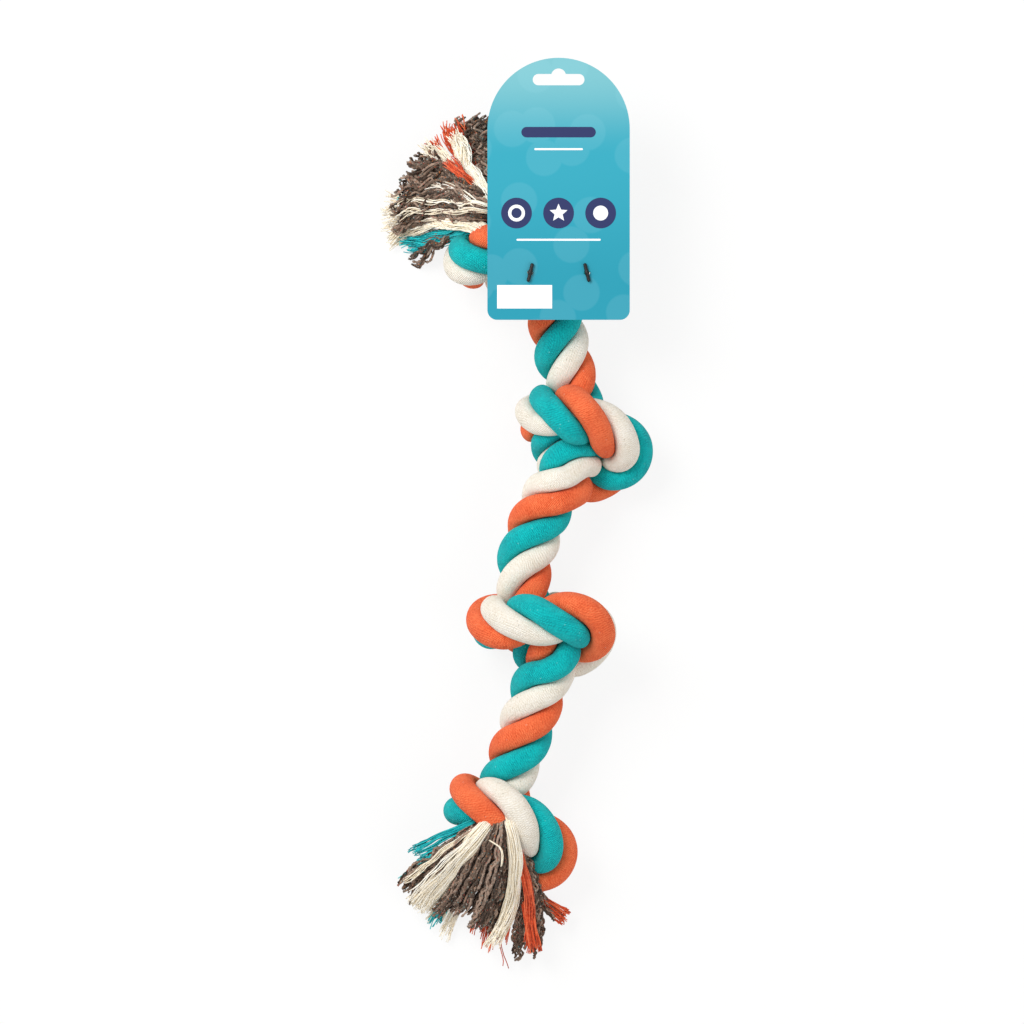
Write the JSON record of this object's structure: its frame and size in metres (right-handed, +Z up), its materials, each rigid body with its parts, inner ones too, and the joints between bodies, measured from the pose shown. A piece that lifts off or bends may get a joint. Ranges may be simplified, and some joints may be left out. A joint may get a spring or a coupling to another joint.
{
  "type": "rope dog toy",
  "caption": "Thick three-strand rope tug toy for dogs, tied into overhand knots along its length, with frayed tassel ends and a card hang tag on an elastic loop.",
  "frame": {"origin": "On the floor, under the middle of the toy's box as it lies flat.", "axes": "+Y runs along the toy towards the tagged end, +X across it to the right as seen from above, +Z up from the floor."},
  "size_m": [0.1648, 0.5674, 0.0797],
  "materials": {
    "teal_cotton": "matte soft-twisted yarn",
    "orange_cotton": "matte soft-twisted yarn",
    "cream_cotton": "matte soft-twisted yarn",
    "grey_core_yarn": "matte coarse recycled yarn with flecks",
    "coated_card": "coated paperboard, satin",
    "black_elastic": "woven elastic cord",
    "black_plastic": "moulded plastic, satin"
  },
  "bodies": {
    "knot_1": {"knot_1_teal_strand": "teal_cotton", "knot_1_orange_strand": "orange_cotton", "knot_1_cream_strand": "cream_cotton", "tag_elastic_loop": "black_elastic"},
    "span_1": {"span_1_teal_strand": "teal_cotton", "span_1_orange_strand": "orange_cotton", "span_1_cream_strand": "cream_cotton"},
    "knot_2": {"knot_2_teal_strand": "teal_cotton", "knot_2_orange_strand": "orange_cotton", "knot_2_cream_strand": "cream_cotton"},
    "span_2": {"span_2_teal_strand": "teal_cotton", "span_2_orange_strand": "orange_cotton", "span_2_cream_strand": "cream_cotton"},
    "knot_3": {"knot_3_teal_strand": "teal_cotton", "knot_3_orange_strand": "orange_cotton", "knot_3_cream_strand": "cream_cotton"},
    "span_3": {"span_3_teal_strand": "teal_cotton", "span_3_orange_strand": "orange_cotton", "span_3_cream_strand": "cream_cotton"},
    "knot_4": {"knot_4_teal_strand": "teal_cotton", "knot_4_orange_strand": "orange_cotton", "knot_4_cream_strand": "cream_cotton"},
    "top_tassel": {"top_tassel_orange_yarns": "orange_cotton", "top_tassel_orange_core_yarns": "grey_core_yarn", "top_tassel_cream_yarns": "cream_cotton", "top_tassel_cream_core_yarns": "grey_core_yarn", "top_tassel_teal_core_yarns": "grey_core_yarn", "top_tassel_teal_yarns": "teal_cotton"},
    "bottom_tassel": {"bottom_tassel_teal_yarns": "teal_cotton", "bottom_tassel_teal_core_yarns": "grey_core_yarn", "bottom_tassel_cream_yarns": "cream_cotton", "bottom_tassel_cream_core_yarns": "grey_core_yarn", "bottom_tassel_orange_core_yarns": "grey_core_yarn", "bottom_tassel_orange_yarns": "orange_cotton"},
    "tag": {"tag_card": "coated_card", "tag_left_bar": "black_plastic", "tag_right_bar": "black_plastic"}
  },
  "joints": [
    {"name": "span_1_sideways", "type": "hinge", "parent": "knot_1", "child": "span_1", "pos_m": [0.0218, 0.1238, 0.0366], "axis": [0, 0, 1], "range_deg": [-35, 35], "deforming": ["span_1_teal_strand", "span_1_orange_strand", "span_1_cream_strand"]},
    {"name": "span_1_lift", "type": "hinge", "parent": "span_1", "child": "knot_2", "pos_m": [0.0284, 0.0987, 0.032], "axis": [-0.9573, -0.2891, 0], "range_deg": [-35, 35], "deforming": ["span_1_teal_strand", "span_1_orange_strand", "span_1_cream_strand"]},
    {"name": "span_2_sideways", "type": "hinge", "parent": "knot_2", "child": "span_2", "pos_m": [0.0146, 0.0037, 0.0378], "axis": [0, 0, 1], "range_deg": [-35, 35], "deforming": ["span_2_teal_strand", "span_2_orange_strand", "span_2_cream_strand"]},
    {"name": "span_2_lift", "type": "hinge", "parent": "span_2", "child": "knot_3", "pos_m": [0.0041, -0.0246, 0.036], "axis": [-0.9813, 0.1923, 0], "range_deg": [-35, 35], "deforming": ["span_2_teal_strand", "span_2_orange_strand", "span_2_cream_strand"]},
    {"name": "span_3_sideways", "type": "hinge", "parent": "knot_3", "child": "span_3", "pos_m": [0.0105, -0.1119, 0.0409], "axis": [0, 0, 1], "range_deg": [-35, 35], "deforming": ["span_3_teal_strand", "span_3_orange_strand", "span_3_cream_strand"]},
    {"name": "span_3_lift", "type": "hinge", "parent": "span_3", "child": "knot_4", "pos_m": [-0.0011, -0.1465, 0.0378], "axis": [-0.9173, 0.3982, 0], "range_deg": [-35, 35], "deforming": ["span_3_teal_strand", "span_3_orange_strand", "span_3_cream_strand"]},
    {"name": "top_tassel_sway", "type": "hinge", "parent": "knot_1", "child": "top_tassel", "pos_m": [-0.0166, 0.1787, 0.0333], "axis": [0, 0, 1], "range_deg": [-20, 20], "deforming": ["top_tassel_orange_yarns", "top_tassel_orange_core_yarns", "top_tassel_cream_yarns", "top_tassel_cream_core_yarns", "top_tassel_teal_core_yarns", "top_tassel_teal_yarns"]},
    {"name": "bottom_tassel_sway", "type": "hinge", "parent": "knot_4", "child": "bottom_tassel", "pos_m": [-0.0191, -0.2128, 0.043], "axis": [0, 0, 1], "range_deg": [-20, 20], "deforming": ["bottom_tassel_teal_yarns", "bottom_tassel_teal_core_yarns", "bottom_tassel_cream_yarns", "bottom_tassel_cream_core_yarns", "bottom_tassel_orange_core_yarns", "bottom_tassel_orange_yarns"]},
    {"name": "tag_lift", "type": "hinge", "parent": "knot_1", "child": "tag", "pos_m": [0.0247, 0.1509, 0.072], "axis": [1, 0, 0], "range_deg": [0, 25], "deforming": ["tag_elastic_loop"]}
  ]
}
